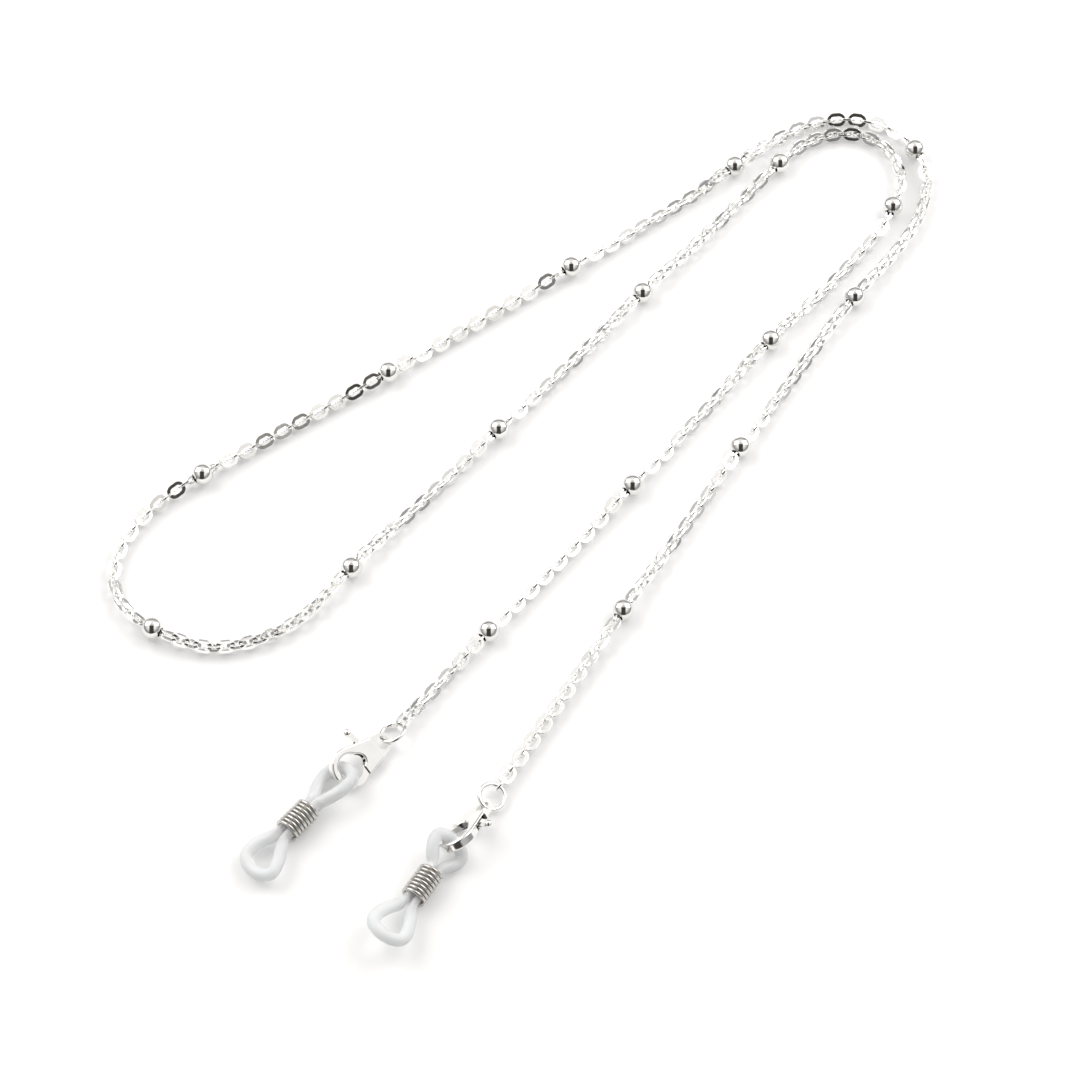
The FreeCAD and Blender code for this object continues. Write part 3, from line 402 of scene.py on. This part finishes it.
def make_loop(word):
    shape = LoopFrame(word)
    points = loop_points(shape)
    centres = [spline_point(points, index / CORD_STEPS) for index in range(len(points) * CORD_STEPS)]
    centres = eased(eased(centres, CORD_EASE), CORD_EASE)
    rings = []
    total = len(centres)
    for index, centre in enumerate(centres):
        tangent = (centres[(index + 1) % total] - centres[index - 1]).normalized()
        along = (centre - shape.centre).dot(shape.axis)
        normal = shape.axis.cross(shape.across(along)).normalized()
        side = tangent.cross(normal).normalized()
        normal = side.cross(tangent)
        past_squeeze = abs(along) - COIL_LENGTH / 2 - SQUEEZE_PAST_COIL
        squeeze = 1 - smooth_step(past_squeeze / ROUNDING_LENGTH)
        half_wide = CORD_RADIUS + (LEG_HALF_WIDE - CORD_RADIUS) * squeeze
        half_high = CORD_RADIUS + (LEG_HALF_HIGH - CORD_RADIUS) * squeeze
        rings.append(ellipse(centre, side * half_wide, normal * half_high, CORD_AROUND))
    verts, faces = tube(rings, True)
    make_piece("silicone_cord_" + word, verts, faces, silicone, "loop_" + word,
               ["silicone_loop_" + word])


def make_coil(word):
    shape = LoopFrame(word)
    level = UP.cross(shape.axis).normalized()
    upright = shape.axis.cross(level)
    radius = COIL_RADIUS_OUTER - COIL_WIRE / 2
    rings = []
    total = COIL_TURNS * COIL_STEPS
    for index in range(total + 1):
        angle = 2 * math.pi * index / COIL_STEPS
        along = -COIL_LENGTH / 2 + COIL_PITCH * index / COIL_STEPS
        outward = level * math.cos(angle) + upright * math.sin(angle)
        centre = shape.centre + shape.axis * along + outward * radius
        forward = (shape.axis * (COIL_PITCH / (2 * math.pi * radius))
                   - level * math.sin(angle) + upright * math.cos(angle)).normalized()
        side = forward.cross(outward).normalized()
        inside = WIRE_END_STEPS <= index <= total - WIRE_END_STEPS
        wire = COIL_WIRE / 2 * (1.0 if inside else WIRE_END_SHARE)
        rings.append(ellipse(centre, outward * wire, side * wire, COIL_AROUND))
    verts, faces = tube(rings, False)
    make_piece("coil_" + word, verts, faces, nickel_wire, "coil_" + word,
               ["coil_sleeve_" + word])


for word in LOOPS:
    make_loop(word)
    make_coil(word)


# Studio

def make_floor():
    mesh = bpy.data.meshes.new("floor")
    square = ((-1, -1), (1, -1), (1, 1), (-1, 1))
    corners = [(x * FLOOR_HALF, y * FLOOR_HALF, FLOOR_LEVEL) for x, y in square]
    mesh.from_pydata(corners, [], [(0, 1, 2, 3)])
    floor = bpy.data.objects.new("floor", mesh)
    bpy.context.scene.collection.objects.link(floor)
    material = bpy.data.materials.new("floor_white")
    material.use_nodes = True
    nodes = material.node_tree.nodes
    links = material.node_tree.links
    nodes.clear()
    diffuse = nodes.new("ShaderNodeBsdfDiffuse")
    diffuse.inputs["Color"].default_value = FLOOR_COLOR
    glow = nodes.new("ShaderNodeEmission")
    links.new(seen_share(nodes, links, FLOOR_GLOW), glow.inputs["Strength"])
    both = nodes.new("ShaderNodeAddShader")
    output = nodes.new("ShaderNodeOutputMaterial")
    links.new(diffuse.outputs[0], both.inputs[0])
    links.new(glow.outputs[0], both.inputs[1])
    links.new(both.outputs[0], output.inputs["Surface"])
    mesh.materials.append(material)


def seen_share(nodes, links, strength):
    """The strength for rays from the camera, from glossy surfaces and through clear ones, else 0."""
    path = nodes.new("ShaderNodeLightPath")
    first = nodes.new("ShaderNodeMath")
    first.operation = "ADD"
    links.new(path.outputs["Is Camera Ray"], first.inputs[0])
    links.new(path.outputs["Is Glossy Ray"], first.inputs[1])
    second = nodes.new("ShaderNodeMath")
    second.operation = "ADD"
    second.use_clamp = True
    links.new(first.outputs[0], second.inputs[0])
    links.new(path.outputs["Is Transmission Ray"], second.inputs[1])
    scaled = nodes.new("ShaderNodeMath")
    scaled.operation = "MULTIPLY"
    scaled.inputs[1].default_value = strength
    links.new(second.outputs[0], scaled.inputs[0])
    return scaled.outputs[0]


def make_lamps():
    for name, (right, forward, up) in LAMP_PLACES.items():
        data = bpy.data.lights.new(name, "AREA")
        data.shape = "RECTANGLE"
        data.size, data.size_y = LAMP_SIZE
        data.energy = LAMP_POWER
        lamp = bpy.data.objects.new(name, data)
        lamp.location = CAMERA_TARGET + STUDIO_RIGHT * right + STUDIO_FORWARD * forward + UP * up
        towards = CAMERA_TARGET - lamp.location
        lamp.rotation_mode = "QUATERNION"
        lamp.rotation_quaternion = towards.to_track_quat("-Z", "Y")
        bpy.context.scene.collection.objects.link(lamp)


def along_direction(nodes, links, place, direction):
    dot = nodes.new("ShaderNodeVectorMath")
    dot.operation = "DOT_PRODUCT"
    dot.inputs[1].default_value = direction
    links.new(place, dot.inputs[0])
    return dot.outputs["Value"]


def soft_edge(nodes, links, value, start, end):
    edge = nodes.new("ShaderNodeMapRange")
    edge.interpolation_type = "SMOOTHSTEP"
    edge.inputs["From Min"].default_value = start
    edge.inputs["From Max"].default_value = end
    links.new(value, edge.inputs["Value"])
    return edge.outputs["Result"]


def dark_gap(nodes, links, place):
    """The dark upright gap in the room's light, on the camera's side: 1 inside it, 0 outside."""
    rightward = along_direction(nodes, links, place, STUDIO_RIGHT)
    width = nodes.new("ShaderNodeMath")
    width.operation = "ABSOLUTE"
    links.new(rightward, width.inputs[0])
    across = soft_edge(nodes, links, width.outputs[0], *GAP_SIDE_FADE)
    forward = along_direction(nodes, links, place, STUDIO_FORWARD)
    towards = soft_edge(nodes, links, forward, *GAP_FRONT_FADE)
    both = nodes.new("ShaderNodeMath")
    both.operation = "MULTIPLY"
    links.new(across, both.inputs[0])
    links.new(towards, both.inputs[1])
    return both.outputs[0]


def make_world():
    """The room that the metal mirrors, and white where the camera looks straight at it."""
    world = bpy.data.worlds.new("studio")
    world.use_nodes = True
    bpy.context.scene.world = world
    nodes = world.node_tree.nodes
    links = world.node_tree.links
    nodes.clear()
    place = nodes.new("ShaderNodeTexCoord").outputs["Generated"]
    split = nodes.new("ShaderNodeSeparateXYZ")
    links.new(place, split.inputs[0])
    tones = ramp(nodes, links, split.outputs["Z"], ROOM_TONES)
    bar = nodes.new("ShaderNodeMix")
    bar.data_type = "RGBA"
    bar.inputs["B"].default_value = GAP_COLOR
    links.new(dark_gap(nodes, links, place), bar.inputs["Factor"])
    links.new(tones, bar.inputs["A"])
    room = nodes.new("ShaderNodeBackground")
    room.inputs["Strength"].default_value = ROOM_STRENGTH
    links.new(bar.outputs["Result"], room.inputs["Color"])
    white = nodes.new("ShaderNodeBackground")
    white.inputs["Color"].default_value = (1, 1, 1, 1)
    path = nodes.new("ShaderNodeLightPath")
    mix = nodes.new("ShaderNodeMixShader")
    links.new(path.outputs["Is Camera Ray"], mix.inputs[0])
    links.new(room.outputs[0], mix.inputs[1])
    links.new(white.outputs[0], mix.inputs[2])
    output = nodes.new("ShaderNodeOutputWorld")
    links.new(mix.outputs[0], output.inputs["Surface"])


def make_camera():
    data = bpy.data.cameras.new("camera")
    data.lens = CAMERA_LENS
    data.sensor_width = CAMERA_SENSOR
    data.clip_start = CAMERA_NEAR
    data.clip_end = CAMERA_FAR
    camera = bpy.data.objects.new("camera", data)
    camera.location = CAMERA_TARGET + CAMERA_OFFSET
    camera.rotation_mode = "QUATERNION"
    camera.rotation_quaternion = (-CAMERA_OFFSET).to_track_quat("-Z", "Y")
    bpy.context.scene.collection.objects.link(camera)
    bpy.context.scene.camera = camera


make_floor()
make_lamps()
make_world()
make_camera()
bpy.context.scene.view_settings.view_transform = "Standard"
